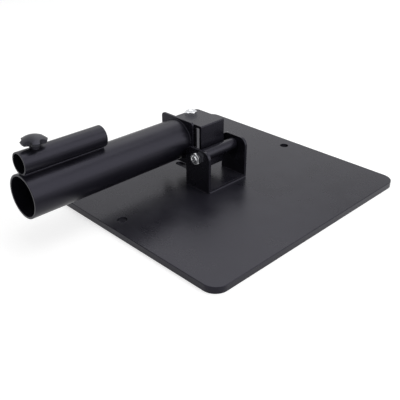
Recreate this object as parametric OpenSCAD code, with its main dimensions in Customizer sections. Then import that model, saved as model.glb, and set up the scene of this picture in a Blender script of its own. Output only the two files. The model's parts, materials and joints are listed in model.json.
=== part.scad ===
// Floor plate with a two-axis pivot that holds the end of a barbell.
// Origin: centre of the plate's underside. The bar tubes lie along -Y at rest.

/* [Base plate] */
// Length of the plate along X
plate_l = 400; // [320:5:500]
// Width of the plate along Y
plate_w = 400; // [370:5:500]
// Thickness of the plate
plate_t = 10; // [6:1:16]
// Radius of the plate's corners
plate_corner_r = 20; // [8:1:40]
// Chamfer on the plate's upper rim
plate_chamfer = 1; // [0.4:0.2:2]
// Diameter of the two floor anchor holes
anchor_hole_d = 14; // [9:0.5:18]
// Distance between the anchor holes
anchor_spacing = 353; // [300:1:356]
// Width of the slot beside the lower bracket
slot_w = 12; // [8:1:16]
// Overall length of that slot
slot_l = 58; // [40:1:70]
// Gap between the slot and the lower bracket
slot_margin = 7; // [5:1:12]

/* [Lower bracket] */
// Distance of the pitch axis from the plate's centre
bracket_x = 8; // [0:1:20]
// Width of the bracket's ears along X
ear_w = 48; // [40:1:48]
// Clear distance between the ears
ear_gap = 73; // [66:1:90]
// Sheet thickness of the lower bracket
lower_t = 4.5; // [3:0.5:6]
// Height of the ears above the plate
ear_h = 64; // [58:1:68]
// Radius of the ears' upper corners
ear_corner_r = 12; // [10:1:20]
// Outside radius of the lower bracket's bends
lower_bend_r = 1.5; // [1:0.5:3]
// Height of the pitch axis above the plate
pin_h = 50.5; // [48:0.5:56]
// Size of the fillet welds at the bracket's foot
foot_weld = 2; // [1.5:0.5:2.5]

/* [Upper bracket] */
// Width of the upper bracket along Y
upper_w = 48; // [40:1:50]
// Overall height of the upper bracket
upper_h = 70; // [62:1:74]
// Depth of the flanges, from the wall's outer face
flange_depth = 59; // [56:1:60]
// Sheet thickness of the upper bracket
upper_t = 4; // [3:0.5:6]
// Radius of the flanges' free corners
flange_corner_r = 7; // [7:0.5:12]
// Outside radius of the upper bracket's bends
upper_bend_r = 2; // [1:0.5:3]
// Distance from the pitch axis down to the bracket's underside
upper_drop = 29; // [26:0.5:30]

/* [Pivots] */
// Distance between the pitch axis and the swivel axis
swivel_reach = 55; // [53:1:57]
// Outside diameter of both pivot sleeves
sleeve_od = 18; // [16:0.5:20]
// Running clearance between bolt and sleeve, on the radius
run_gap = 0.1; // [0.05:0.01:0.1]
// Gap at each end of a sleeve
sleeve_end_gap = 0.3; // [0.2:0.1:0.6]
// Size of the fillet welds on the sleeves
sleeve_weld = 5; // [3:0.5:6]

/* [Fasteners] */
// Diameter of the two pivot bolts
bolt_d = 10; // [8:1:12]
// Width across flats of bolt heads and nuts
hex_af = 16; // [15:0.5:17]
// Height of the bolt heads
bolt_head_h = 6; // [5:0.5:7]
// Diameter of the dish in the bolt heads
dish_d = 8.5; // [6:0.5:10]
// Depth of that dish
dish_depth = 0.8; // [0.4:0.1:1.5]
// Direction of the swivel bolt head's first corner
head_turn = 45; // [0:1:59]
// Height of the nuts
nut_h = 6; // [5:0.5:8]
// Bolt end that stands out of the nut
bolt_tail = 1; // [0.5:0.5:4]
// Clearance of the bolts in the sheet, on the radius
hole_gap = 0.2; // [0.1:0.05:0.4]

/* [Swivel arm] */
// Side of the square end plate
end_plate_s = 67; // [62:1:72]
// Thickness of the end plate
end_plate_t = 4; // [3:0.5:6]
// Corner radius of the end plate
end_plate_r = 5; // [2:0.5:10]
// Distance from the swivel axis to the end plate
end_plate_stand = 26; // [26:0.5:30]
// Thickness of the rib that carries the swivel sleeve
rib_t = 8; // [5:0.5:12]
// Height of that rib
rib_h = 52; // [40:1:56]
// Size of the fillet welds on the rib
rib_weld = 3; // [2:0.5:4]

/* [Bar tubes] */
// Outside diameter of the large tube
large_od = 60; // [56:0.5:62]
// Wall of the large tube
large_wall = 3; // [2:0.5:4]
// Length of the large tube
large_len = 262; // [220:1:320]
// Height of the large tube's axis above the pitch axis
tube_rise = 11; // [8:0.5:14]
// Fillet weld between the large tube and the end plate
tube_weld = 2; // [1.5:0.5:3]
// Outside diameter of the small tube
small_od = 30; // [27:0.5:34]
// Wall of the small tube
small_wall = 2; // [1.5:0.5:3]
// Length of the small tube
small_len = 123; // [90:1:160]
// Set-back of the small tube's mouth from the large one
mouth_setback = 2; // [0:0.5:10]
// Gap between the two tubes before welding
tube_gap = 0.1; // [0.05:0.05:0.3]
// Reach of the weld in the groove between the tubes
seam_weld = 6; // [5:0.5:8]

/* [Clamp screw] */
// Distance of the clamp from the small tube's mouth
clamp_inset = 24; // [18:1:40]
// Diameter of the clamp screw
screw_d = 8; // [6:0.5:10]
// Diameter of the threaded boss
boss_d = 13; // [12:0.5:16]
// Height of the boss above the small tube
boss_h = 3; // [2:0.5:6]
// Lift of the knob above the boss at rest
knob_lift = 1.25; // [0.5:0.25:3]
// Length of the thrust pad at the screw's tip
pad_l = 2; // [1:0.5:4]
// Length of the screw inside the knob
screw_grip = 7; // [4:0.5:8]
// Diameter of the knob over its lobes
knob_d = 33; // [30:0.5:40]
// Height of the knob
knob_h = 11.5; // [10:0.5:14]
// Height of the dome on the knob
dome_h = 6; // [3:0.5:6.5]
// Number of lobes on the knob
knob_lobes = 5; // [4:1:7]
// Radius of a lobe's tip
lobe_r = 6; // [4:0.5:6.5]
// Diameter of the knob's hub
hub_d = 13; // [11.5:0.5:16]
// Height of the hub below the knob's underside
hub_h = 1.2; // [0.6:0.2:2]
// Height of the lobes' underside above the hub's foot
lobe_low = 1.8; // [1.2:0.1:2.5]
// Inward slope of the lobes' sides towards the underside
lobe_taper = 1.3; // [0.5:0.1:2]
// Direction of the knob's first lobe at rest
knob_turn = 53; // [0:1:71]

/* [Hidden] */
$fn = 96;

eps = 0.01;           // overlap where two faces would meet exactly
over = 1;             // overshoot of cutters past a face
face_share = 0.96;    // a hexagon's flat face, as a share of its width
paint = [0.17, 0.18, 0.19];
zinc = [0.8, 0.81, 0.83];
plastic = [0.12, 0.12, 0.13];

// Pivot axes
pin_z = plate_t + pin_h;
swivel_x = bracket_x - swivel_reach;

// Lower bracket
ear_out = ear_gap + 2 * lower_t;
slot_end_x = bracket_x - ear_w / 2 - slot_margin;

// Upper bracket
bend_min = 0.3;
wall_x = bracket_x - sleeve_od / 2;
upper_low_z = pin_z - upper_drop;
upper_top_z = upper_low_z + upper_h;

// Sleeves and bolts
sleeve_bore = bolt_d + 2 * run_gap;
bolt_hole = bolt_d + 2 * hole_gap;
pitch_sleeve_l = ear_gap - 2 * sleeve_end_gap;
swivel_sleeve_l = upper_h - 2 * upper_t - 2 * sleeve_end_gap;
bolt_chamfer = bolt_d / 10;
hex_r = hex_af / 2 / cos(30);

// Swivel arm and tubes
tube_z = pin_z + tube_rise;
plate_in_y = -end_plate_stand;
plate_out_y = plate_in_y - end_plate_t;
rib_mid_z = (upper_low_z + upper_top_z) / 2;
mouth_y = plate_out_y - large_len;
small_mouth_y = mouth_y + mouth_setback;
large_r = large_od / 2;
small_r = small_od / 2;
small_z = tube_z + large_r + tube_gap + small_r;
crown_z = small_z + small_r;

// Clamp
clamp_y = small_mouth_y + clamp_inset;
boss_top_z = crown_z + boss_h;
hub_z = boss_top_z + knob_lift;
bore_top_z = small_z + small_r - small_wall;
screw_bore = screw_d + 2 * run_gap;
pad_d = screw_d * 0.8;
pad_pin_d = pad_d / 2;
pad_pin_l = 2;
pad_seat_gap = 0.1;

// Knob
lobe_at = knob_d / 2 - lobe_r;
lobe_step = 360 / knob_lobes;
flute_at = knob_d * 0.575;
flute_bite = 0.2;
rim_reach = knob_d / 2 + 0.5;
rim_z = knob_h - dome_h;
dome_r = (rim_reach * rim_reach + dome_h * dome_h) / (2 * dome_h);
hub_chamfer = 0.5;

// 2D outline with two rounded corners at y = 0 and square corners at y = h
module round_bottom(w, h, r) {
    translate([-w / 2, r]) square([w, h - r]);
    translate([-w / 2 + r, 0]) square([w - 2 * r, h]);
    for (s = [-1, 1]) translate([s * (w / 2 - r), r]) circle(r);
}

// 2D outline of a bent channel: web at y = 0, legs up to y = h
module channel_outline(w, h, t, r_out) {
    r_in = max(bend_min, r_out - t);
    difference() {
        round_bottom(w, h, r_out);
        translate([0, t]) round_bottom(w - 2 * t, h - t + over, r_in);
    }
}

// 2D rectangle with four rounded corners, centred
module rounded_rect(w, h, r) {
    square([w - 2 * r, h], center = true);
    square([w, h - 2 * r], center = true);
    for (sx = [-1, 1], sy = [-1, 1])
        translate([sx * (w / 2 - r), sy * (h / 2 - r)]) circle(r);
}

// Extrudes a 2D outline drawn in (Y, Z) along X, centred
module along_x(l) {
    rotate([90, 0, 90]) linear_extrude(height = l, center = true) children();
}

// Extrudes a 2D outline drawn in (X, Z) along Y, centred
module along_y(l) {
    rotate([90, 0, 0]) linear_extrude(height = l, center = true) children();
}

// Cylinder along Y, centred
module rod_y(d, l) {
    rotate([90, 0, 0]) cylinder(d = d, h = l, center = true);
}

// Section that a rim cutter sweeps: it takes a chamfer c off an edge at (x, 0)
module chamfer_section(x, c) {
    polygon([[x - c - over, over], [x - c, 0], [x, -c], [x + over, -c - over],
        [x + over, over]]);
}

// Cutter for the plate's upper rim
module plate_rim_cutter() {
    run_x = plate_l / 2 - plate_corner_r;
    run_y = plate_w / 2 - plate_corner_r;
    for (s = [0, 180]) rotate(s) {
        along_y(2 * run_y) chamfer_section(plate_l / 2, plate_chamfer);
        rotate(90) along_y(2 * run_x) chamfer_section(plate_w / 2, plate_chamfer);
    }
    for (a = [0 : 3]) {
        sx = (a == 0 || a == 3) ? 1 : -1;
        sy = a < 2 ? 1 : -1;
        translate([sx * run_x, sy * run_y, 0]) rotate(a * 90)
            rotate_extrude(angle = 90) chamfer_section(plate_corner_r, plate_chamfer);
    }
}

// Hexagon bolt along Z: head underside at z = 0, shank down to -l, dished head
module hex_bolt(l) {
    difference() {
        hexagon(bolt_head_h);
        translate([0, 0, bolt_head_h - dish_depth]) cylinder(d = dish_d, h = dish_depth + over);
    }
    translate([0, 0, -l]) rotate_extrude() polygon([[0, 0], [bolt_d / 2 - bolt_chamfer, 0],
        [bolt_d / 2, bolt_chamfer], [bolt_d / 2, l + over], [0, l + over]]);
}

// Hexagon of height h with its upper corners turned off at 30 degrees
module hexagon(h) {
    face_r = hex_af / 2 * face_share;
    drop = (hex_r - face_r) * tan(30);
    intersection() {
        cylinder(r = hex_r, h = h, $fn = 6);
        rotate_extrude() polygon([[0, 0], [hex_r + over, 0], [hex_r + over, h - drop - over * tan(30)],
            [face_r, h], [0, h]]);
    }
}

// Hexagon nut along Z with its seat at z = 0
module hex_nut() {
    difference() {
        hexagon(nut_h);
        translate([0, 0, -over]) cylinder(d = sleeve_bore, h = nut_h + 2 * over);
    }
}

// Section of the weld in the wedge between a flat face (x = 0) and a round one
module wedge_section(r, leg) {
    x_leg = r - sqrt(r * r - leg * leg);
    difference() {
        polygon([[0, 0], [0, leg + x_leg / 2], [x_leg, leg], [x_leg, 0]]);
        translate([r, 0]) circle(r);
    }
}

// Right-angled fillet section with legs along +x and +y
module fillet_section(leg) {
    polygon([[0, 0], [leg, 0], [0, leg]]);
}

module base_plate() {
    color(paint) difference() {
        linear_extrude(height = plate_t) rounded_rect(plate_l, plate_w, plate_corner_r);
        translate([0, 0, plate_t]) plate_rim_cutter();
        for (s = [-1, 1]) translate([0, s * anchor_spacing / 2, -over])
            cylinder(d = anchor_hole_d, h = plate_t + 2 * over);
        translate([slot_end_x - slot_l / 2, 0, -over]) linear_extrude(height = plate_t + 2 * over)
            rounded_rect(slot_l, slot_w, slot_w / 2 - eps);
    }
}

module lower_bracket() {
    color(paint) translate([bracket_x, 0, plate_t]) difference() {
        intersection() {
            along_x(ear_w) channel_outline(ear_out, ear_h, lower_t, lower_bend_r);
            along_y(ear_out + 2 * over) translate([0, ear_h]) mirror([0, 1])
                round_bottom(ear_w, ear_h, ear_corner_r);
        }
        translate([0, 0, pin_h]) rod_y(bolt_hole, ear_out + 2 * over);
    }
}

// Fillets along the web's two edges, and the grooves under the two bends
module lower_bracket_welds() {
    web_run = ear_out - 2 * lower_bend_r;
    color(paint) translate([bracket_x, 0, plate_t]) {
        for (s = [0, 180]) rotate(s) {
            translate([ear_w / 2, 0, 0]) along_y(web_run) fillet_section(foot_weld);
            along_x(ear_w) difference() {
                translate([ear_out / 2 - lower_bend_r, 0]) square(lower_bend_r);
                translate([ear_out / 2 - lower_bend_r, lower_bend_r]) circle(lower_bend_r);
            }
        }
    }
}

// The pitch bolt's head is on the +Y ear and its nut on the -Y ear
module pitch_bolt() {
    color(zinc) translate([bracket_x, ear_out / 2, pin_z]) rotate([-90, 0, 0])
        hex_bolt(ear_out + nut_h + bolt_tail);
}

// The nut stands on a corner
module pitch_nut() {
    color(zinc) translate([bracket_x, -ear_out / 2, pin_z]) rotate([90, 0, 0]) rotate(30)
        hex_nut();
}

// Bent channel that opens towards -X, with the swivel bolt through both flanges
module upper_bracket() {
    color(paint) difference() {
        intersection() {
            translate([wall_x, 0, (upper_low_z + upper_top_z) / 2]) along_y(upper_w) rotate(90)
                channel_outline(upper_h, flange_depth, upper_t, upper_bend_r);
            translate([wall_x, 0, upper_low_z - over]) linear_extrude(height = upper_h + 2 * over)
                translate([-flange_depth, 0]) rotate(-90)
                    round_bottom(upper_w, flange_depth, flange_corner_r);
        }
        translate([swivel_x, 0, upper_low_z - over]) cylinder(d = bolt_hole, h = upper_h + 2 * over);
    }
}

module pitch_sleeve() {
    color(paint) translate([bracket_x, 0, pin_z]) difference() {
        rod_y(sleeve_od, pitch_sleeve_l);
        rod_y(sleeve_bore, pitch_sleeve_l + 2 * over);
    }
}

module pitch_sleeve_welds() {
    color(paint) translate([wall_x, 0, pin_z]) for (s = [0, 1]) mirror([0, 0, s])
        along_y(upper_w) wedge_section(sleeve_od / 2, sleeve_weld);
}

module swivel_bolt() {
    color(zinc) translate([swivel_x, 0, upper_top_z]) rotate(head_turn)
        hex_bolt(upper_h + nut_h + bolt_tail);
}

module swivel_nut() {
    color(zinc) translate([swivel_x, 0, upper_low_z]) mirror([0, 0, 1]) hex_nut();
}

module swivel_sleeve() {
    color(paint) translate([swivel_x, 0, rib_mid_z]) difference() {
        cylinder(d = sleeve_od, h = swivel_sleeve_l, center = true);
        cylinder(d = sleeve_bore, h = swivel_sleeve_l + 2 * over, center = true);
    }
}

// Flat rib between the swivel sleeve and the end plate, coped to the sleeve
module swivel_rib() {
    color(paint) translate([swivel_x, 0, rib_mid_z]) difference() {
        translate([-rib_t / 2, plate_in_y, -rib_h / 2]) cube([rib_t, end_plate_stand, rib_h]);
        cylinder(d = sleeve_od, h = rib_h + 2 * over, center = true);
    }
}

// Upright fillets on both sides of the rib, at the end plate and at the sleeve
module swivel_rib_welds() {
    sleeve_r = sleeve_od / 2;
    root_y = -sqrt(sleeve_r * sleeve_r - rib_t * rib_t / 4);
    side_x = rib_t / 2 + rib_weld;
    side_y = -sqrt(sleeve_r * sleeve_r - side_x * side_x);
    color(paint) translate([swivel_x, 0, rib_mid_z])
        linear_extrude(height = rib_h, center = true) for (s = [0, 1]) mirror([s, 0]) {
            translate([rib_t / 2, plate_in_y]) fillet_section(rib_weld);
            difference() {
                polygon([[rib_t / 2, root_y - rib_weld], [side_x, side_y], [side_x, side_y + eps],
                    [rib_t / 2, 0]]);
                circle(sleeve_r);
            }
        }
}

module end_plate() {
    color(paint) translate([swivel_x, (plate_in_y + plate_out_y) / 2, tube_z])
        along_y(end_plate_t) rounded_rect(end_plate_s, end_plate_s, end_plate_r);
}

module large_bar_tube() {
    color(paint) translate([swivel_x, plate_out_y - large_len / 2, tube_z]) difference() {
        rod_y(large_od, large_len);
        rod_y(large_od - 2 * large_wall, large_len + 2 * over);
    }
}

// Ring of weld round the large tube's root
module large_tube_weld() {
    color(paint) translate([swivel_x, plate_out_y, tube_z]) rotate([90, 0, 0])
        rotate_extrude() translate([large_r, 0]) fillet_section(tube_weld);
}

module small_bar_tube() {
    color(paint) translate([swivel_x, small_mouth_y + small_len / 2, small_z]) difference() {
        rod_y(small_od, small_len);
        rod_y(small_od - 2 * small_wall, small_len + 2 * over);
        translate([0, clamp_y - small_mouth_y - small_len / 2, 0])
            cylinder(d = screw_bore, h = small_od);
    }
}

// Weld in the groove between the tubes, on both sides
module small_tube_welds() {
    color(paint) translate([swivel_x, small_mouth_y + small_len / 2, tube_z])
        for (s = [0, 1]) mirror([s, 0, 0]) along_y(small_len) difference() {
            translate([seam_weld / 3, large_r - seam_weld / 2])
                square([seam_weld * 2 / 3, seam_weld]);
            circle(large_r, $fn = 360);
            translate([0, small_z - tube_z]) circle(small_r, $fn = 360);
        }
}

// Threaded boss, coped to the small tube
module clamp_boss() {
    color(paint) translate([swivel_x, clamp_y, small_z]) difference() {
        cylinder(d = boss_d, h = small_r + boss_h);
        rod_y(small_od, boss_d * 2);
        cylinder(d = screw_bore, h = small_od);
    }
}

// Thrust pad that travels with the screw but doesn't turn
module clamp_pad() {
    color(plastic) translate([swivel_x, clamp_y, bore_top_z]) {
        cylinder(d = pad_d, h = pad_l);
        translate([0, 0, pad_l]) cylinder(d = pad_pin_d, h = pad_pin_l - pad_seat_gap);
    }
}

module clamp_screw() {
    tip_z = bore_top_z + pad_l + pad_seat_gap;
    top_z = hub_z + screw_grip;
    pocket_d = pad_pin_d + 2 * run_gap;
    color(zinc) translate([swivel_x, clamp_y, 0]) difference() {
        translate([0, 0, tip_z]) cylinder(d = screw_d, h = top_z - tip_z);
        translate([0, 0, tip_z - over]) cylinder(d = pocket_d, h = pad_pin_l + over);
    }
}

// 2D outline of the knob: round lobes with a flute between each pair
module knob_outline() {
    half = lobe_step / 2;
    flute_r = norm([flute_at - lobe_at * cos(half), lobe_at * sin(half)]) - lobe_r + flute_bite;
    difference() {
        polygon([for (i = [0 : knob_lobes - 1], k = [0, 1])
            (k == 0 ? lobe_at : flute_at) * [cos((2 * i + k) * half), sin((2 * i + k) * half)]]);
        for (i = [0 : knob_lobes - 1]) rotate((2 * i + 1) * half) translate([flute_at, 0])
            circle(flute_r);
    }
    for (i = [0 : knob_lobes - 1]) rotate(i * lobe_step) translate([lobe_at, 0]) circle(lobe_r);
}

// Half section of the knob: hub, tapered lobes and a dome that is part of a sphere
module knob_section() {
    intersection() {
        polygon([[0, 0], [hub_d / 2 - hub_chamfer, 0], [hub_d / 2, hub_chamfer],
            [hub_d / 2, hub_h], [rim_reach - lobe_taper, lobe_low], [rim_reach, rim_z],
            [rim_reach, knob_h + over], [0, knob_h + over]]);
        translate([0, knob_h - dome_r]) circle(dome_r, $fn = 360);
    }
}

module clamp_knob() {
    color(plastic) translate([swivel_x, clamp_y, hub_z]) difference() {
        intersection() {
            rotate(knob_turn) linear_extrude(height = knob_h + over) knob_outline();
            rotate_extrude() knob_section();
        }
        translate([0, 0, -over]) cylinder(d = screw_bore, h = screw_grip + over + run_gap);
    }
}

base_plate();
lower_bracket();
lower_bracket_welds();
pitch_bolt();
pitch_nut();
upper_bracket();
pitch_sleeve();
pitch_sleeve_welds();
swivel_bolt();
swivel_nut();
swivel_sleeve();
swivel_rib();
swivel_rib_welds();
end_plate();
large_bar_tube();
large_tube_weld();
small_bar_tube();
small_tube_welds();
clamp_boss();
clamp_pad();
clamp_screw();
clamp_knob();
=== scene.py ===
import json
import math

import bpy
from mathutils import Matrix, Vector

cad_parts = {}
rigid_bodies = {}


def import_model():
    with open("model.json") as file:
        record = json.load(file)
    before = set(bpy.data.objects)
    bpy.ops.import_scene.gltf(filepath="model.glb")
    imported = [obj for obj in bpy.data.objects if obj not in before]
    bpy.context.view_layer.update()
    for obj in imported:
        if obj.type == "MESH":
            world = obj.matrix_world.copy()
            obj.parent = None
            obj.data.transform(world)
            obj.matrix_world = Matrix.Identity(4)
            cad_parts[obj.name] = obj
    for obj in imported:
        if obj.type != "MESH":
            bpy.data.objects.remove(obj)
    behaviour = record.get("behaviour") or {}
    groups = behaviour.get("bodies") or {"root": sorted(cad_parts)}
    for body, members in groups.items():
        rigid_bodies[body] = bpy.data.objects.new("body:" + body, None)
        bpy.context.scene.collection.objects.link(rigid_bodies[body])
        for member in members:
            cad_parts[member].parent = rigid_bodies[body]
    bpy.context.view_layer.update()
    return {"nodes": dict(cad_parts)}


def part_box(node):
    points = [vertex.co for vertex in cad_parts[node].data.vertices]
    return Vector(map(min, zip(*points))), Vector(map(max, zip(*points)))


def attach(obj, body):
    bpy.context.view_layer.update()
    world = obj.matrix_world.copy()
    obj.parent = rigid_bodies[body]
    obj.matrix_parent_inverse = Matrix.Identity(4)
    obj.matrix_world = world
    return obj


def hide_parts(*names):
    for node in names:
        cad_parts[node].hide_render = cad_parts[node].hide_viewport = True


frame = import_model()
cadNodes = frame["nodes"]
mm = 0.001
tiny = 0.02 * mm


# Camera, at the photograph's angle

viewPoint = {
    "place": (0.57593, -0.59581, 0.43486),
    "pitch": 29.23,  # degrees below the horizon
    "yaw": 45.38,  # degrees round Z from looking along +Y
    "lens": 54.15,
    "clipStart": 0.01,
}


def addCamera(settings):
    lensData = bpy.data.cameras.new("photoCamera")
    lensData.lens = settings["lens"]
    lensData.clip_start = settings["clipStart"]
    camera = bpy.data.objects.new("photoCamera", lensData)
    bpy.context.scene.collection.objects.link(camera)
    camera.location = settings["place"]
    camera.rotation_euler = (math.radians(90 - settings["pitch"]), 0, math.radians(settings["yaw"]))
    bpy.context.scene.camera = camera


addCamera(viewPoint)
print("camera placed")


# Studio: a pale floor, an even sky and soft boxes beside and above

studio = {
    "floorSize": 40,
    "floorColor": (0.5, 0.5, 0.5, 1),
    "floorRough": 0.9,
    "floorSpecular": 0.1,
    "floorLift": 0.66,  # added for the camera and for mirrored rays only
    "ambient": 0.3,
    "lamps": [
        # name, place, aim, size, watts
        ("rightSoftbox", (1.9, 0.75, 1.1), (0, 0, 0.04), 2.0, 26),
        ("topSoftbox", (0.35, 0.3, 2.0), (0, 0, 0), 1.5, 17),
        ("backSoftbox", (-1.0, 1.0, 1.75), (0, 0, 0), 1.3, 7.2),
    ],
}


def addLamp(name, place, aim, size, watts):
    lamp = bpy.data.lights.new(name, "AREA")
    lamp.shape = "SQUARE"
    lamp.size = size
    lamp.energy = watts
    holder = bpy.data.objects.new(name, lamp)
    bpy.context.scene.collection.objects.link(holder)
    holder.location = place
    holder.rotation_euler = (Vector(aim) - Vector(place)).to_track_quat("-Z", "Y").to_euler()


def seenRays(tree):
    rays = tree.nodes.new("ShaderNodeLightPath")
    total = None
    for label in ("Is Camera Ray", "Is Glossy Ray", "Is Transmission Ray"):
        if total is None:
            total = rays.outputs[label]
            continue
        add = tree.nodes.new("ShaderNodeMath")
        add.operation = "MAXIMUM"
        tree.links.new(total, add.inputs[0])
        tree.links.new(rays.outputs[label], add.inputs[1])
        total = add.outputs[0]
    return total


def floorMaterial(settings):
    material = bpy.data.materials.new("studioFloor")
    material.use_nodes = True
    tree = material.node_tree
    shader = tree.nodes["Principled BSDF"]
    shader.inputs["Base Color"].default_value = settings["floorColor"]
    shader.inputs["Roughness"].default_value = settings["floorRough"]
    shader.inputs["Specular IOR Level"].default_value = settings["floorSpecular"]
    shader.inputs["Emission Color"].default_value = (1, 1, 1, 1)
    level = tree.nodes.new("ShaderNodeMath")
    level.operation = "MULTIPLY"
    level.inputs[1].default_value = settings["floorLift"]
    tree.links.new(seenRays(tree), level.inputs[0])
    tree.links.new(level.outputs[0], shader.inputs["Emission Strength"])
    return material


def addWorld(strength):
    world = bpy.data.worlds.new("studioWorld")
    bpy.context.scene.world = world
    world.use_nodes = True
    tree = world.node_tree
    background = tree.nodes["Background"]
    background.inputs["Color"].default_value = (1, 1, 1, 1)
    level = tree.nodes.new("ShaderNodeMapRange")
    level.inputs["To Min"].default_value = strength
    level.inputs["To Max"].default_value = 1
    tree.links.new(seenRays(tree), level.inputs["Value"])
    tree.links.new(level.outputs["Result"], background.inputs["Strength"])


def addStudio(settings):
    bpy.ops.object.select_all(action="DESELECT")
    bpy.ops.mesh.primitive_plane_add(size=settings["floorSize"])
    floor = bpy.context.object
    floor.name = "studioFloor"
    floor.data.materials.append(floorMaterial(settings))
    addWorld(settings["ambient"])
    for lamp in settings["lamps"]:
        addLamp(*lamp)


addStudio(studio)
bpy.context.scene.view_settings.view_transform = "Standard"
print("studio lit")


# Shared effects, as node groups


def newGroup(name, inputs, outputs):
    group = bpy.data.node_groups.new(name, "ShaderNodeTree")
    for label, value in inputs:
        socket = group.interface.new_socket(label, in_out="INPUT", socket_type="NodeSocketFloat")
        socket.default_value = value
    for label in outputs:
        group.interface.new_socket(label, in_out="OUTPUT", socket_type="NodeSocketFloat")
    return group, group.nodes.new("NodeGroupInput"), group.nodes.new("NodeGroupOutput")


def mathNode(tree, operation, first, second, clamp=False):
    node = tree.nodes.new("ShaderNodeMath")
    node.operation = operation
    node.use_clamp = clamp
    for socket, value in zip(node.inputs, (first, second)):
        if isinstance(value, (int, float)):
            socket.default_value = value
        else:
            tree.links.new(value, socket)
    return node.outputs[0]


def noiseNode(tree, scale, detail, rough):
    place = tree.nodes.new("ShaderNodeTexCoord")
    noise = tree.nodes.new("ShaderNodeTexNoise")
    noise.inputs["Detail"].default_value = detail
    noise.inputs["Roughness"].default_value = rough
    tree.links.new(place.outputs["Object"], noise.inputs["Vector"])
    tree.links.new(scale, noise.inputs["Scale"])
    return noise.outputs["Fac"]


def rangeNode(tree, value, low, high, toLow=0.0, toHigh=1.0):
    node = tree.nodes.new("ShaderNodeMapRange")
    node.inputs["From Min"].default_value = low
    node.inputs["From Max"].default_value = high
    node.inputs["To Min"].default_value = toLow
    node.inputs["To Max"].default_value = toHigh
    tree.links.new(value, node.inputs["Value"])
    return node.outputs["Result"]


grainLook = {
    "grain": (2.0, 0.45),  # detail and roughness of the noise
    "clouds": (3.0, 0.55),
    "cloudRange": (0.3, 0.7),
}


def makePowderGrain(look):
    # Fine pebbled skin of baked paint, and slow clouds where the coat is thicker
    group, source, target = newGroup(
        "powderGrain", [("Grain Scale", 1600.0), ("Cloud Scale", 11.0)], ["Height", "Clouds"]
    )
    fine = noiseNode(group, source.outputs["Grain Scale"], *look["grain"])
    group.links.new(fine, target.inputs["Height"])
    clouds = noiseNode(group, source.outputs["Cloud Scale"], *look["clouds"])
    group.links.new(rangeNode(group, clouds, *look["cloudRange"]), target.inputs["Clouds"])
    return group


wearAndHighlightLook = {
    "samples": 4,
    "rimRange": (0.985, 0.86),  # cosines between the true and the rounded normal
    "patches": (4.0, 0.6),
    "patchRange": (0.45, 0.62),
}


def makeEdgeWearAndHighlight(look):
    # A rim mask that lightens rims, partly as wear and partly as painted highlight: where a rounded
    # normal leaves the true one, broken up by noise
    group, source, target = newGroup(
        "edgeWearAndHighlight", [("Width", 0.8 * mm), ("Patch Scale", 90.0)], ["Mask"]
    )
    rounded = group.nodes.new("ShaderNodeBevel")
    rounded.samples = look["samples"]
    group.links.new(source.outputs["Width"], rounded.inputs["Radius"])
    surface = group.nodes.new("ShaderNodeNewGeometry")
    facing = group.nodes.new("ShaderNodeVectorMath")
    facing.operation = "DOT_PRODUCT"
    group.links.new(rounded.outputs["Normal"], facing.inputs[0])
    group.links.new(surface.outputs["Normal"], facing.inputs[1])
    rim = rangeNode(group, facing.outputs["Value"], *look["rimRange"])
    patches = noiseNode(group, source.outputs["Patch Scale"], *look["patches"])
    broken = rangeNode(group, patches, *look["patchRange"])
    group.links.new(mathNode(group, "MULTIPLY", rim, broken, True), target.inputs["Mask"])
    return group


dustLook = {
    "upRange": (0.3, 1.0),  # Z of the normal, from bare to fully dusted
    "spots": (5.0, 0.62),
    "spotRange": (0.4, 0.72),
}


def makeDust(look):
    # Dust and rubbing that settle on what faces up
    group, source, target = newGroup("settledDust", [("Amount", 0.3), ("Spread", 26.0)], ["Mask"])
    surface = group.nodes.new("ShaderNodeNewGeometry")
    split = group.nodes.new("ShaderNodeSeparateXYZ")
    group.links.new(surface.outputs["Normal"], split.inputs[0])
    upward = rangeNode(group, split.outputs["Z"], *look["upRange"])
    spots = noiseNode(group, source.outputs["Spread"], *look["spots"])
    mask = mathNode(group, "MULTIPLY", upward, rangeNode(group, spots, *look["spotRange"]))
    group.links.new(mathNode(group, "MULTIPLY", mask, source.outputs["Amount"], True),
                    target.inputs["Mask"])
    return group


powderGrain = makePowderGrain(grainLook)
edgeWearAndHighlight = makeEdgeWearAndHighlight(wearAndHighlightLook)
settledDust = makeDust(dustLook)
print("node groups built")


# Materials


def groupNode(tree, group, **values):
    node = tree.nodes.new("ShaderNodeGroup")
    node.node_tree = group
    for label, value in values.items():
        node.inputs[label.replace("_", " ")].default_value = value
    return node


def mixColor(tree, mask, first, second):
    node = tree.nodes.new("ShaderNodeMix")
    node.data_type = "RGBA"
    sockets = node.inputs[0], node.inputs[6], node.inputs[7]
    for socket, value in zip(sockets, (mask, first, second)):
        if isinstance(value, tuple):
            socket.default_value = value
        else:
            tree.links.new(value, socket)
    return node.outputs[2]


def startMaterial(name, settings):
    material = bpy.data.materials.new(name)
    material.use_nodes = True
    tree = material.node_tree
    shader = tree.nodes["Principled BSDF"]
    shader.inputs["Specular IOR Level"].default_value = settings["specular"]
    shader.inputs["Specular Tint"].default_value = settings["tint"]
    return material, tree, shader


def roughen(tree, shader, grain, settings):
    # The grain as a shallow bump
    bump = tree.nodes.new("ShaderNodeBump")
    bump.inputs["Strength"].default_value = settings["bump"]
    bump.inputs["Distance"].default_value = settings["bumpDepth"]
    tree.links.new(grain.outputs["Height"], bump.inputs["Height"])
    tree.links.new(bump.outputs["Normal"], shader.inputs["Normal"])


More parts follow.
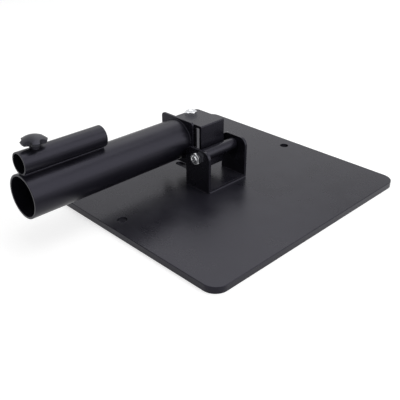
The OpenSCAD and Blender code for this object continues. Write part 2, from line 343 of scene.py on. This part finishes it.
def paintMaterial(name, settings):
    material, tree, shader = startMaterial(name, settings)
    grain = groupNode(tree, powderGrain, Grain_Scale=settings["grain"],
                      Cloud_Scale=settings["cloud"])
    wearAndHighlight = groupNode(tree, edgeWearAndHighlight, Width=settings["rimWidth"])
    dust = groupNode(tree, settledDust, Amount=settings["dust"])
    color = mixColor(tree, grain.outputs["Clouds"], settings["dark"], settings["light"])
    color = mixColor(tree, dust.outputs["Mask"], color, settings["dustColor"])
    # Rims lighter: partly wear, partly a painted highlight along the edges
    wornAndLit = mathNode(tree, "MULTIPLY", wearAndHighlight.outputs["Mask"], settings["wearAndHighlight"])
    color = mixColor(tree, wornAndLit, color, settings["wornAndHighlightColor"])
    tree.links.new(color, shader.inputs["Base Color"])
    rough = rangeNode(tree, grain.outputs["Clouds"], 0, 1, *settings["rough"])
    dull = mathNode(tree, "MULTIPLY", dust.outputs["Mask"], settings["dustRough"])
    tree.links.new(mathNode(tree, "ADD", rough, dull, True), shader.inputs["Roughness"])
    roughen(tree, shader, grain, settings)
    return material


paintFinish = {
    "dark": (0.0082, 0.0078, 0.0115, 1),
    "light": (0.0112, 0.0107, 0.0152, 1),
    "tint": (0.82, 0.8, 1, 1),
    "dustColor": (0.032, 0.032, 0.04, 1),
    "wornAndHighlightColor": (0.07, 0.07, 0.085, 1),
    "specular": 0.245,
    "rough": (0.23, 0.31),
    "grain": 1500,
    "cloud": 9,
    "bump": 0.35,
    "bumpDepth": 0.05 * mm,
    "wearAndHighlight": 0.6,
    "rimWidth": 0.9 * mm,
    "dust": 0.3,
    "dustRough": 0.2,
}
platePaint = paintMaterial("platePaint", paintFinish)
framePaint = paintMaterial("framePaint", {**paintFinish, "cloud": 24, "dust": 0.2})
# The same paint made darker for the tubes and the clamp boss: painted shade
shadedTubePaint = paintMaterial("shadedTubePaint", {
    **paintFinish, "dark": (0.006, 0.0057, 0.0085, 1), "light": (0.0085, 0.0081, 0.0118, 1),
    "cloud": 17, "specular": 0.225, "rough": (0.28, 0.36),
})
weldPaint = paintMaterial("weldPaint", {
    **paintFinish, "cloud": 60, "rough": (0.34, 0.44), "wearAndHighlight": 0.2,
})


def zincMaterial(settings):
    material, tree, shader = startMaterial("zincPlate", settings)
    shader.inputs["Metallic"].default_value = 1
    grain = groupNode(tree, powderGrain, Grain_Scale=settings["grain"],
                      Cloud_Scale=settings["cloud"])
    wearAndHighlight = groupNode(tree, edgeWearAndHighlight, Width=settings["rimWidth"])
    color = mixColor(tree, grain.outputs["Clouds"], settings["dark"], settings["light"])
    # Lighter rims on the zinc: a painted highlight
    color = mixColor(tree, wearAndHighlight.outputs["Mask"], color, settings["edgeHighlightColor"])
    tree.links.new(color, shader.inputs["Base Color"])
    tree.links.new(rangeNode(tree, grain.outputs["Clouds"], 0, 1, *settings["rough"]),
                   shader.inputs["Roughness"])
    roughen(tree, shader, grain, settings)
    return material


zincPlate = zincMaterial({
    "dark": (0.56, 0.57, 0.59, 1),
    "light": (0.78, 0.79, 0.81, 1),
    "edgeHighlightColor": (0.88, 0.89, 0.9, 1),
    "tint": (1, 1, 1, 1),
    "specular": 0.5,
    "rough": (0.13, 0.22),
    "grain": 2600,
    "cloud": 180,
    "rimWidth": 0.3 * mm,
    "bump": 0.12,
    "bumpDepth": 0.03 * mm,
})
knobPlastic = paintMaterial("knobPlastic", {
    **paintFinish,
    "dark": (0.009, 0.0095, 0.011, 1),
    "light": (0.013, 0.0135, 0.0155, 1),
    "wornAndHighlightColor": (0.06, 0.062, 0.068, 1),
    "specular": 0.31,
    "rough": (0.3, 0.38),
    "grain": 2200,
    "cloud": 70,
    "wearAndHighlight": 0.35,
})
print("materials mixed")


# Workshop helpers


def selectOnly(*pieces):
    bpy.ops.object.select_all(action="DESELECT")
    for piece in pieces:
        piece.select_set(True)
    bpy.context.view_layer.objects.active = pieces[0]


def bakePlace(piece, name):
    selectOnly(piece)
    bpy.ops.object.transform_apply(location=True, rotation=True, scale=True)
    piece.name = piece.data.name = name
    return piece


def addBox(name, low, high):
    low, high = Vector(low), Vector(high)
    bpy.ops.object.select_all(action="DESELECT")
    bpy.ops.mesh.primitive_cube_add(size=1, location=(low + high) / 2, scale=high - low)
    return bakePlace(bpy.context.object, name)


alongAxis = {"x": (0, math.radians(90), 0), "y": (math.radians(-90), 0, 0), "z": (0, 0, 0)}


def addRod(name, radius, low, high, axis, sides=96, ends="NGON", tip=None, turn=0):
    # A rod, tube skin or cone whose axis runs along +axis from low to high
    low, high = Vector(low), Vector(high)
    bpy.ops.object.select_all(action="DESELECT")
    bpy.ops.mesh.primitive_cone_add(
        vertices=sides, radius1=radius, radius2=radius if tip is None else tip,
        depth=(high - low).length, end_fill_type=ends, rotation=(0, 0, math.radians(turn))
    )
    rod = bpy.context.object
    bpy.ops.object.transform_apply(location=False, rotation=True, scale=False)
    rod.rotation_euler = alongAxis[axis]
    rod.location = (low + high) / 2
    return bakePlace(rod, name)


def applyModifier(piece, kind, **values):
    modifier = piece.modifiers.new(kind.lower(), kind)
    for label, value in values.items():
        setattr(modifier, label, value)
    selectOnly(piece)
    bpy.ops.object.modifier_apply(modifier=modifier.name)


def combine(piece, tool, operation="DIFFERENCE"):
    applyModifier(piece, "BOOLEAN", object=tool, operation=operation, solver="EXACT")
    bpy.data.objects.remove(tool)


def clearPicks(piece):
    for part in (piece.data.vertices, piece.data.edges, piece.data.polygons):
        part.foreach_set("select", [False] * len(part))


def pickEdges(piece, test):
    clearPicks(piece)
    points = piece.data.vertices
    for edge in piece.data.edges:
        start, end = (points[i].co for i in edge.vertices)
        edge.select = bool(test((start + end) / 2, (end - start).normalized()))
    bpy.context.tool_settings.mesh_select_mode = (False, True, False)
    selectOnly(piece)


def pickFaces(piece, test):
    clearPicks(piece)
    for face in piece.data.polygons:
        face.select = bool(test(face.center, face.normal))
    bpy.context.tool_settings.mesh_select_mode = (False, False, True)
    selectOnly(piece)


def roundEdges(piece, test, radius, steps):
    pickEdges(piece, test)
    bpy.ops.object.mode_set(mode="EDIT")
    bpy.ops.mesh.bevel(offset=radius, segments=steps, affect="EDGES", offset_type="OFFSET")
    bpy.ops.object.mode_set(mode="OBJECT")


def dropFaces(piece, test):
    pickFaces(piece, test)
    bpy.ops.object.mode_set(mode="EDIT")
    bpy.ops.mesh.delete(type="FACE")
    bpy.ops.object.mode_set(mode="OBJECT")


smoothing = {"edgeAngle": 32, "softAngle": 45, "roundAngle": 40, "normalWeight": 80}


def soften(piece, width, steps=2, angle=smoothing["edgeAngle"]):
    # The last rounding of every sharp edge, then normals that keep flat faces flat
    applyModifier(piece, "BEVEL", width=width, segments=steps, limit_method="ANGLE",
                  angle_limit=math.radians(angle), use_clamp_overlap=True)
    smooth(piece, smoothing["softAngle"])
    applyModifier(piece, "WEIGHTED_NORMAL", keep_sharp=True, weight=smoothing["normalWeight"])


def smooth(piece, angle=smoothing["roundAngle"]):
    selectOnly(piece)
    bpy.ops.object.shade_smooth_by_angle(angle=math.radians(angle))


def dress(piece, material, slotName, body, *nodes):
    piece.data.materials.clear()
    piece.data.materials.append(material)
    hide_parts(*nodes)
    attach(piece, body)


# Base plate

plateShape = {
    "corner": 20 * mm,
    "cornerSteps": 18,
    "rim": 1 * mm,
    "rimSteps": 3,
    "foot": 0.6 * mm,
    "holeRadius": 7 * mm,
    "holeY": 176.5 * mm,
    "slotFrom": -81 * mm,
    "slotTo": -23 * mm,
    "slotHalf": 6 * mm,
    "slotRound": 0.995,  # share of the half width, so the end arcs don't meet
    "slotSteps": 14,
    "edge": 0.35 * mm,
}


def makeBasePlate(shape):
    low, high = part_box("base_plate")
    plate = addBox("basePlate", low, high)
    roundEdges(plate, lambda mid, run: abs(run.z) > 0.9, shape["corner"], shape["cornerSteps"])
    roundEdges(plate, lambda mid, run: mid.z > high[2] - tiny, shape["rim"], shape["rimSteps"])
    roundEdges(plate, lambda mid, run: mid.z < low[2] + tiny, shape["foot"], 2)
    for y in (-shape["holeY"], shape["holeY"]):
        drill = addRod("drill", shape["holeRadius"], (0, y, low[2] - mm), (0, y, high[2] + mm),
                       "z", 64)
        combine(plate, drill)
    cutter = addBox("slotCutter", (shape["slotFrom"], -shape["slotHalf"], low[2] - mm),
                    (shape["slotTo"], shape["slotHalf"], high[2] + mm))
    roundEdges(cutter, lambda mid, run: abs(run.z) > 0.9, shape["slotHalf"] * shape["slotRound"],
               shape["slotSteps"])
    combine(plate, cutter)
    soften(plate, shape["edge"], 2)
    dress(plate, platePaint, "plate_paint", "base", "base_plate")


makeBasePlate(plateShape)
print("base plate made")


# Lower bracket: a U of sheet with two ears

pivotPlace = {"pitchX": 8 * mm, "pitchZ": 60.5 * mm, "swivelX": -47 * mm}
lowerShape = {
    "sheet": 4.5 * mm,
    "bend": 1.5 * mm,
    "innerBend": 0.4 * mm,
    "earCorner": 12 * mm,
    "boltHole": 5.2 * mm,
    "edge": 0.4 * mm,
}


def makeLowerBracket(shape):
    low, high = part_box("lower_bracket")
    ears = addBox("lowerBracket", low, high)
    dropFaces(ears, lambda mid, out: out.z > 0.9 or abs(out.x) > 0.9)
    applyModifier(ears, "SOLIDIFY", thickness=shape["sheet"], offset=-1, use_even_offset=True)
    roundEdges(ears, lambda mid, run: abs(run.x) > 0.9 and mid.z < low[2] + tiny, shape["bend"], 5)
    floorTop = low[2] + shape["sheet"]
    roundEdges(ears, lambda mid, run: abs(run.x) > 0.9 and abs(mid.z - floorTop) < tiny,
               shape["innerBend"], 2)
    roundEdges(ears, lambda mid, run: abs(run.y) > 0.9 and mid.z > high[2] - tiny,
               shape["earCorner"], 16)
    x, z = (low[0] + high[0]) / 2, pivotPlace["pitchZ"]
    combine(ears, addRod("drill", shape["boltHole"], (x, low[1] - mm, z), (x, high[1] + mm, z),
                         "y", 64))
    soften(ears, shape["edge"])
    dress(ears, framePaint, "frame_paint", "base", "lower_bracket")


makeLowerBracket(lowerShape)


# Upper bracket: a C of sheet that opens towards the arm

upperShape = {
    "sheet": 4 * mm,
    "bend": 2 * mm,
    "innerBend": 0.4 * mm,
    "flangeCorner": 7 * mm,
    "boltHole": 5.2 * mm,
    "edge": 0.4 * mm,
}


def makeUpperBracket(shape):
    low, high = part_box("upper_bracket")
    yoke = addBox("upperBracket", low, high)
    dropFaces(yoke, lambda mid, out: out.x < -0.9 or abs(out.y) > 0.9)
    applyModifier(yoke, "SOLIDIFY", thickness=shape["sheet"], offset=-1, use_even_offset=True)
    roundEdges(yoke, lambda mid, run: abs(run.y) > 0.9 and mid.x > high[0] - tiny, shape["bend"], 6)
    wallFace = high[0] - shape["sheet"]
    roundEdges(yoke, lambda mid, run: abs(run.y) > 0.9 and abs(mid.x - wallFace) < tiny,
               shape["innerBend"], 2)
    roundEdges(yoke, lambda mid, run: abs(run.z) > 0.9 and mid.x < low[0] + tiny,
               shape["flangeCorner"], 12)
    x = pivotPlace["swivelX"]
    combine(yoke, addRod("drill", shape["boltHole"], (x, 0, low[2] - mm), (x, 0, high[2] + mm),
                         "z", 64))
    soften(yoke, shape["edge"])
    dress(yoke, framePaint, "frame_paint", "yoke", "upper_bracket")


makeUpperBracket(upperShape)
print("brackets bent")


# Sleeves and bar tubes

sleeveShape = {"wall": 3.9 * mm, "edge": 0.7 * mm, "sides": 64, "paint": framePaint,
               "slot": "frame_paint", "drilled": False}
barTubeShape = {"body": "arm", "axis": "y", "paint": shadedTubePaint, "slot": "tube_paint"}
tubeShape = {
    "pitchSleeve": {**sleeveShape, "node": "pitch_sleeve", "body": "yoke", "axis": "y"},
    "swivelSleeve": {**sleeveShape, "node": "swivel_sleeve", "body": "arm", "axis": "z"},
    "largeBarTube": {**barTubeShape, "node": "large_bar_tube", "wall": 3 * mm,
                     "edge": 0.5 * mm, "sides": 160, "drilled": False},
    "smallBarTube": {**barTubeShape, "node": "small_bar_tube", "wall": 2 * mm,
                     "edge": 0.4 * mm, "sides": 128, "drilled": True},
}
tubeEdge = {"steps": 3, "angle": 40}
clampPlace = {"x": -47 * mm, "y": -266 * mm, "drillRadius": 4.1 * mm}


def makeTube(name, shape):
    low, high = (Vector(corner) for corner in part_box(shape["node"]))
    mid = (low + high) / 2
    way = "xyz".index(shape["axis"])
    start, end = mid.copy(), mid.copy()
    start[way], end[way] = low[way], high[way]
    radius = (high - low)[(way + 1) % 3] / 2
    tube = addRod(name, radius, start, end, shape["axis"], shape["sides"], "NOTHING")
    applyModifier(tube, "SOLIDIFY", thickness=shape["wall"], offset=-1, use_even_offset=True)
    if shape["drilled"]:
        x, y = clampPlace["x"], clampPlace["y"]
        combine(tube, addRod("drill", clampPlace["drillRadius"], (x, y, mid.z),
                             (x, y, high.z + mm), "z", 48))
    soften(tube, shape["edge"], tubeEdge["steps"], tubeEdge["angle"])
    dress(tube, shape["paint"], shape["slot"], shape["body"], shape["node"])


for tubeName, tubeValues in tubeShape.items():
    makeTube(tubeName, tubeValues)
print("tubes cut")


# End plate of the large tube

endPlateShape = {"corner": 5 * mm, "edge": 0.5 * mm}


def makeEndPlate(shape):
    plate = addBox("endPlate", *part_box("end_plate"))
    roundEdges(plate, lambda mid, run: abs(run.y) > 0.9, shape["corner"], 10)
    soften(plate, shape["edge"])
    dress(plate, framePaint, "frame_paint", "arm", "end_plate")


makeEndPlate(endPlateShape)


# Hexagon bolts and nuts

hexShape = {
    "height": 6 * mm,
    "cornerRadius": 8 * mm / math.cos(math.radians(30)),
    "chamferAngle": 30,
    "faceRadius": 7.68 * mm,
    "dishRadius": 4.25 * mm,
    "dishFloor": 3.4 * mm,
    "dishDepth": 0.8 * mm,
    "boltRadius": 5 * mm,
    "tipChamfer": 1 * mm,
    "nutBore": 5.1 * mm,
    "boreChamfer": 0.5 * mm,
    "edge": 0.25 * mm,
    "pitch": 1.5 * mm,
    "threadDepth": 0.75 * mm,
    "threadLength": 10 * mm,
    "threadOverlap": 0.1 * mm,
}


def tracePath(name, points):
    # A line of vertices, drawn by extruding one vertex from point to point
    bpy.ops.object.select_all(action="DESELECT")
    bpy.ops.mesh.primitive_plane_add(size=mm, location=points[0])
    bpy.ops.object.transform_apply(location=True, rotation=True, scale=True)
    path = bpy.context.object
    path.name = path.data.name = name
    bpy.context.tool_settings.mesh_select_mode = (True, False, False)
    bpy.ops.object.mode_set(mode="EDIT")
    bpy.ops.mesh.select_all(action="SELECT")
    bpy.ops.mesh.merge(type="CENTER")
    for start, end in zip(points, points[1:]):
        step = Vector(end) - Vector(start)
        bpy.ops.mesh.extrude_vertices_move(TRANSFORM_OT_translate={"value": step})
    bpy.ops.object.mode_set(mode="OBJECT")
    return path


ridge = {
    "section": [(0, 0), (0, 0.15), (1, 0.5), (1, 0.62), (0, 1)],  # shares of depth and pitch
    "steps": 36,
    "weld": tiny / 4,
}


def addThread(name, radius, depth, pitch, low, high):
    # A helical ridge round Z, wound past both ends and cut off square
    turns = math.ceil((high - low) / pitch) + 2
    z, root = low - pitch, radius - depth
    section = [(root + out * depth, 0, z + up * pitch) for out, up in ridge["section"]]
    thread = tracePath(name, section)
    applyModifier(thread, "SCREW", axis="Z", angle=math.radians(360), screw_offset=pitch,
                  iterations=turns, steps=ridge["steps"], render_steps=ridge["steps"],
                  use_merge_vertices=True, merge_threshold=ridge["weld"], use_normal_calculate=True)
    selectOnly(thread)
    for height, above in ((low, False), (high, True)):
        bpy.ops.object.mode_set(mode="EDIT")
        bpy.ops.mesh.select_all(action="SELECT")
        bpy.ops.mesh.bisect(plane_co=(0, 0, height), plane_no=(0, 0, 1), use_fill=True,
                            clear_inner=not above, clear_outer=above)
        bpy.ops.object.mode_set(mode="OBJECT")
    bpy.ops.object.mode_set(mode="EDIT")
    bpy.ops.mesh.select_all(action="SELECT")
    bpy.ops.mesh.remove_doubles(threshold=ridge["weld"])
    bpy.ops.mesh.normals_make_consistent(inside=False)
    bpy.ops.object.mode_set(mode="OBJECT")
    return thread


def addHexagon(name, turn, shape, bothEnds=False):
    # A hexagon on Z whose corners are turned off, at the top or at both ends
    low, high = (0, 0, 0), (0, 0, shape["height"])
    prism = addRod(name, shape["cornerRadius"], low, high, "z", 6, turn=turn - 30)
    face = shape["faceRadius"]
    wide = face + shape["height"] / math.tan(math.radians(shape["chamferAngle"]))
    combine(prism, addRod("chamfer", wide, low, high, "z", 96, tip=face), "INTERSECT")
    if bothEnds:
        combine(prism, addRod("chamfer", face, low, high, "z", 96, tip=wide), "INTERSECT")
    return prism


def placeAlong(piece, place, axis):
    # Stands a piece made round +Z on its seat
    turns = {"z": (0, 0, 0), "-z": (math.radians(180), 0, 0), "y": (math.radians(-90), 0, 0),
             "-y": (math.radians(90), 0, 0)}
    selectOnly(piece)
    piece.rotation_euler = turns[axis]
    piece.location = place
    bpy.ops.object.transform_apply(location=True, rotation=True, scale=True)


boltShape = {
    # node, body, seat of the head, axis, turn of the hexagon, length under the head
    "pitchBolt": ("pitch_bolt", "base", (pivotPlace["pitchX"], 41 * mm, pivotPlace["pitchZ"]),
                  "y", 0, 89 * mm),
    "swivelBolt": ("swivel_bolt", "yoke", (pivotPlace["swivelX"], 0, 101.5 * mm),
                   "z", 45, 77 * mm),
}


def makeBolt(name, shape, node, body, place, axis, turn, length):
    bolt = addHexagon(name, turn, shape)
    head = shape["height"]
    dishFlare = (shape["dishRadius"] - shape["dishFloor"]) / shape["dishDepth"]
    dish = addRod("dish", shape["dishFloor"], (0, 0, head - shape["dishDepth"]), (0, 0, head + mm),
                  "z", 64, tip=shape["dishRadius"] + dishFlare * mm)
    combine(bolt, dish)
    soften(bolt, shape["edge"])
    neck = -length + shape["threadLength"]
    shank = addRod("shank", shape["boltRadius"], (0, 0, neck), (0, 0, 0), "z", 72)
    thread = addThread("thread", shape["boltRadius"], shape["threadDepth"], shape["pitch"],
                       -length, neck + shape["threadOverlap"])
    blank = addRod("blank", shape["boltRadius"] + mm, (0, 0, -length), (0, 0, 0), "z", 72)
    roundEdges(blank, lambda mid, run: mid.z < -length + tiny, shape["tipChamfer"] + mm, 1)
    combine(thread, blank, "INTERSECT")
    combine(shank, thread, "UNION")
    selectOnly(bolt, shank)
    bpy.ops.object.join()
    smooth(bolt)
    placeAlong(bolt, place, axis)
    dress(bolt, zincPlate, "zinc", body, node)


def makeNuts(shape):
    first = addHexagon("pitchNut", 30, shape, True)
    combine(first, addRod("bore", shape["nutBore"], (0, 0, -mm), (0, 0, shape["height"] + mm),
                          "z", 64))
    roundEdges(first, lambda mid, run: mid.xy.length < shape["nutBore"] + tiny and abs(run.z) < 0.5,
               shape["boreChamfer"], 1)
    soften(first, shape["edge"])
    second = first.copy()
    second.data = first.data.copy()
    second.name = second.data.name = "swivelNut"
    bpy.context.scene.collection.objects.link(second)
    selectOnly(second)
    second.rotation_euler = (0, 0, math.radians(30))
    bpy.ops.object.transform_apply(location=False, rotation=True, scale=False)
    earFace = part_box("lower_bracket")[0][1]
    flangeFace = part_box("upper_bracket")[0][2]
    placeAlong(first, (pivotPlace["pitchX"], earFace, pivotPlace["pitchZ"]), "-y")
    placeAlong(second, (pivotPlace["swivelX"], 0, flangeFace), "-z")
    dress(first, zincPlate, "zinc", "base", "pitch_nut")
    dress(second, zincPlate, "zinc", "yoke", "swivel_nut")


for boltName, boltValues in boltShape.items():
    makeBolt(boltName, hexShape, *boltValues)
makeNuts(hexShape)
print("bolts and nuts turned")


# Clamp: boss, screw and knob

clampShape = {
    "bossRadius": 6.5 * mm,
    "bossEdge": 0.5 * mm,
    "saddleReach": 20 * mm,
    "screwRadius": 4 * mm,
    "screwPitch": 1.25 * mm,
    "screwDepth": 0.62 * mm,
    "screwSpare": 0.5 * mm,  # cut off square at both ends
    "pocketRadius": 1.7 * mm,
    "pocketDepth": 2.1 * mm,
}


def makeBoss(shape):
    low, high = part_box("clamp_boss")
    tubeLow, tubeHigh = (Vector(corner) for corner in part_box("small_bar_tube"))
    centre = (tubeLow + tubeHigh) / 2
    x, y = clampPlace["x"], clampPlace["y"]
    boss = addRod("clampBoss", shape["bossRadius"], (x, y, centre.z), (x, y, high[2]), "z", 64)
    reach = shape["saddleReach"]
    combine(boss, addRod("saddle", (tubeHigh.z - tubeLow.z) / 2, (x, y - reach, centre.z),
                         (x, y + reach, centre.z), "y", 128))
    combine(boss, addRod("bore", clampPlace["drillRadius"], (x, y, centre.z - mm),
                         (x, y, high[2] + mm), "z", 48))
    roundEdges(boss, lambda mid, run: mid.z > high[2] - tiny, shape["bossEdge"], tubeEdge["steps"])
    smooth(boss)
    dress(boss, shadedTubePaint, "tube_paint", "arm", "clamp_boss")


def makeScrew(shape):
    low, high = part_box("clamp_screw")
    screw = addThread("clampScrew", shape["screwRadius"], shape["screwDepth"], shape["screwPitch"],
                      low[2] - shape["screwSpare"], high[2] + shape["screwSpare"])
    blank = addRod("blank", shape["screwRadius"] + mm, (0, 0, low[2]), (0, 0, high[2]), "z", 72)
    combine(screw, blank, "INTERSECT")
    combine(screw, addRod("pocket", shape["pocketRadius"], (0, 0, low[2] - mm),
                          (0, 0, low[2] + shape["pocketDepth"]), "z", 32))
    smooth(screw)
    placeAlong(screw, (clampPlace["x"], clampPlace["y"], 0), "z")
    dress(screw, zincPlate, "zinc", "clamp_grip", "clamp_screw")


knobShape = {
    "lobes": 5,
    "reach": 16.5 * mm,
    "lobeRadius": 6 * mm,
    "fluteAt": 18.98 * mm,
    "firstLobe": 53,
    "fluteEase": 0.2 * mm,
    "section": [  # radius and height above the hub's foot, in millimetres
        (0, 0), (6, 0), (6.5, 0.5), (6.6, 1.2), (15.9, 1.8), (17.2, 5.5), (16.2, 6.2),
    ],
    "rimSpare": 0.5 * mm,
    "domeHeight": 6 * mm,
    "domeSteps": 10,
    "spinSteps": 96,
    "voxel": 0.32 * mm,
    "smoothing": 5,
    "boreRadius": 4.1 * mm,
    "boreDepth": 7.1 * mm,
}


def makeKnob(shape):
    low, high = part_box("clamp_knob")
    foot, crown = low[2], high[2]
    lobeAt = shape["reach"] - shape["lobeRadius"]
    half = math.radians(180 / shape["lobes"])
    reach = Vector((shape["fluteAt"] - lobeAt * math.cos(half), lobeAt * math.sin(half))).length
    fluteRadius = reach - shape["lobeRadius"] + shape["fluteEase"]
    star = addRod("clampKnob", shape["fluteAt"], (0, 0, foot - mm), (0, 0, crown + mm), "z",
                  shape["lobes"] * 2, turn=shape["firstLobe"] - 90)
    lobe = addRod("lobe", shape["lobeRadius"], (lobeAt, 0, foot - mm), (lobeAt, 0, crown + mm),
                  "z", 64)
    flute = addRod("flute", fluteRadius, (shape["fluteAt"], 0, foot - 2 * mm),
                   (shape["fluteAt"], 0, crown + 2 * mm), "z", 64)
    for number in range(shape["lobes"]):
        for tool, angle, operation in ((flute, 0.5, "DIFFERENCE"), (lobe, 0, "UNION")):
            part = tool.copy()
            part.data = tool.data.copy()
            bpy.context.scene.collection.objects.link(part)
            turn = math.radians(shape["firstLobe"] + (number + angle) * 360 / shape["lobes"])
            part.data.transform(Matrix.Rotation(turn, 4, "Z"))
            combine(star, part, operation)
    bpy.data.objects.remove(lobe)
    bpy.data.objects.remove(flute)
    rim = shape["reach"] + shape["rimSpare"]
    domeRadius = (rim ** 2 + shape["domeHeight"] ** 2) / (2 * shape["domeHeight"])
    outline = [(radius * mm, 0, foot + height * mm) for radius, height in shape["section"]]
    rimAngle = math.asin(rim / domeRadius)
    for step in range(1, shape["domeSteps"] + 1):
        angle = rimAngle * (1 - step / shape["domeSteps"])
        drop = domeRadius * (1 - math.cos(angle))
        outline.append((domeRadius * math.sin(angle), 0, crown - drop))
    blank = tracePath("blank", outline)
    selectOnly(blank)
    bpy.ops.object.mode_set(mode="EDIT")
    bpy.ops.mesh.select_all(action="SELECT")
    bpy.ops.mesh.spin(steps=shape["spinSteps"], angle=math.radians(360), center=(0, 0, 0),
                      axis=(0, 0, 1))
    bpy.ops.mesh.select_all(action="SELECT")
    bpy.ops.mesh.remove_doubles(threshold=tiny / 2)
    bpy.ops.mesh.normals_make_consistent(inside=False)
    bpy.ops.object.mode_set(mode="OBJECT")
    combine(star, blank, "INTERSECT")
    applyModifier(star, "REMESH", mode="VOXEL", voxel_size=shape["voxel"])
    applyModifier(star, "SMOOTH", factor=0.5, iterations=shape["smoothing"])
    combine(star, addRod("bore", shape["boreRadius"], (0, 0, foot - mm),
                         (0, 0, foot + shape["boreDepth"]), "z", 48))
    smooth(star)
    placeAlong(star, (clampPlace["x"], clampPlace["y"], 0), "z")
    dress(star, knobPlastic, "knob_plastic", "clamp_grip", "clamp_knob")


makeBoss(clampShape)
makeScrew(clampShape)
makeKnob(knobShape)
print("clamp made")


# Weld beads: a row of overlapping drops, fused and smoothed

beadShape = {"spacing": 0.42, "along": 0.62, "voxel": 0.42 * mm, "smoothing": 3}


def layBead(name, node, body, runs, shape):
    drops = []
    bpy.ops.object.select_all(action="DESELECT")
    bpy.ops.mesh.primitive_ico_sphere_add(subdivisions=2, radius=1)
    drop = bpy.context.object
    for start, end, radius in runs:
        start, end = Vector(start), Vector(end)
        count = max(2, round((end - start).length / (radius * shape["spacing"])))
        turn = (end - start).to_track_quat("Z", "Y").to_matrix().to_4x4()
        for step in range(count + 1):
            copy = drop.copy()
            copy.data = drop.data.copy()
            bpy.context.scene.collection.objects.link(copy)
            copy.data.transform(
                Matrix.Translation(start.lerp(end, step / count)) @ turn
                @ Matrix.Diagonal((radius, radius, radius * shape["along"], 1)))
            drops.append(copy)
    bpy.data.objects.remove(drop)
    selectOnly(*drops)
    bpy.ops.object.join()
    bead = bpy.context.object
    bead.name = bead.data.name = name
    applyModifier(bead, "REMESH", mode="VOXEL", voxel_size=shape["voxel"])
    applyModifier(bead, "SMOOTH", factor=0.5, iterations=shape["smoothing"])
    selectOnly(bead)
    bpy.ops.object.shade_smooth()
    dress(bead, weldPaint, "weld_paint", body, node)


def corners(node):
    return tuple(Vector(corner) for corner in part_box(node))


footShape = {"inset": 2.2 * mm, "outside": 0.2 * mm, "lift": 0.3 * mm, "radius": 1.7 * mm,
             "earInset": 1 * mm, "earInside": 0.5 * mm, "earRadius": 0.9 * mm}


def footRuns(shape):
    # Along both open sides of the bracket's floor, and thinner under both ears
    low, high = corners("lower_bracket")
    inset, top = shape["inset"], low.z
    runs = []
    for x in (low.x - shape["outside"], high.x + shape["outside"]):
        z = top + shape["lift"]
        runs.append(((x, low.y + inset, z), (x, high.y - inset, z), shape["radius"]))
    inset = shape["earInset"]
    for y in (low.y + shape["earInside"], high.y - shape["earInside"]):
        runs.append(((low.x + inset, y, top), (high.x - inset, y, top), shape["earRadius"]))
    return runs


ringShape = {"radius": 1.1 * mm, "pieces": 90, "reach": 0.955, "sunk": 0.2 * mm}


def ringRuns(shape):
    # Round the root of the large tube, in short straight pieces
    low, high = corners("large_tube_weld")
    centre, reach = (low + high) / 2, (high.x - low.x) / 2 * shape["reach"]
    ends = []
    for step in range(shape["pieces"] + 1):
        turn = 2 * math.pi * step / shape["pieces"]
        ends.append((centre.x + reach * math.cos(turn), high.y - shape["sunk"],
                     centre.z + reach * math.sin(turn)))
    return [(start, end, shape["radius"]) for start, end in zip(ends, ends[1:])]


seamShape = {"aside": 4.6 * mm, "inset": 2 * mm, "radius": 2.1 * mm}


def seamRuns(shape):
    # In both grooves between the two bar tubes
    low, high = corners("small_tube_welds")
    x, z, inset = (low.x + high.x) / 2, (low.z + high.z) / 2, shape["inset"]
    return [((x + aside, low.y + inset, z), (x + aside, high.y - inset, z), shape["radius"])
            for aside in (-shape["aside"], shape["aside"])]


sleeveWeldShape = {"fromWall": 2.2 * mm, "fromEdge": 3 * mm, "inset": 2 * mm, "radius": 2 * mm}


def sleeveRuns(shape):
    # Over and under the pitch sleeve, against the bracket's wall
    low, high = corners("pitch_sleeve_welds")
    x, inset = high.x - shape["fromWall"], shape["inset"]
    return [((x, low.y + inset, z), (x, high.y - inset, z), shape["radius"])
            for z in (low.z + shape["fromEdge"], high.z - shape["fromEdge"])]


ribShape = {"inset": 2 * mm, "radius": 1.7 * mm, "plateAside": 4.6 * mm, "fromPlate": 0.9 * mm,
            "sleeveAside": 4.9 * mm, "sleeveY": -9.2 * mm}


def ribRuns(shape):
    # On both sides of the rib, at the end plate and at the swivel sleeve
    low, high = corners("swivel_rib_welds")
    centre = (low.x + high.x) / 2
    lowEnd, highEnd = low.z + shape["inset"], high.z - shape["inset"]
    runs = []
    for side in (-1, 1):
        for aside, y in ((shape["plateAside"], low.y + shape["fromPlate"]),
                         (shape["sleeveAside"], shape["sleeveY"])):
            x = centre + side * aside
            runs.append(((x, y, lowEnd), (x, y, highEnd), shape["radius"]))
    return runs


for beadName, beadNode, beadBody, beadRuns in (
    ("footWelds", "lower_bracket_welds", "base", footRuns(footShape)),
    ("sleeveWelds", "pitch_sleeve_welds", "yoke", sleeveRuns(sleeveWeldShape)),
    ("ribWelds", "swivel_rib_welds", "arm", ribRuns(ribShape)),
    ("tubeRootWeld", "large_tube_weld", "arm", ringRuns(ringShape)),
    ("tubeSeamWelds", "small_tube_welds", "arm", seamRuns(seamShape)),
):
    layBead(beadName, beadNode, beadBody, beadRuns, beadShape)
print("welds laid")


# CAD nodes that stay as they are

keptNodes = {"swivel_rib": framePaint, "clamp_pad": knobPlastic}

for nodeName, nodeMaterial in keptNodes.items():
    nodeObject = cadNodes[nodeName]
    nodeObject.data.materials.clear()
    nodeObject.data.materials.append(nodeMaterial)

for piece in bpy.data.objects:
    piece.select_set(False)
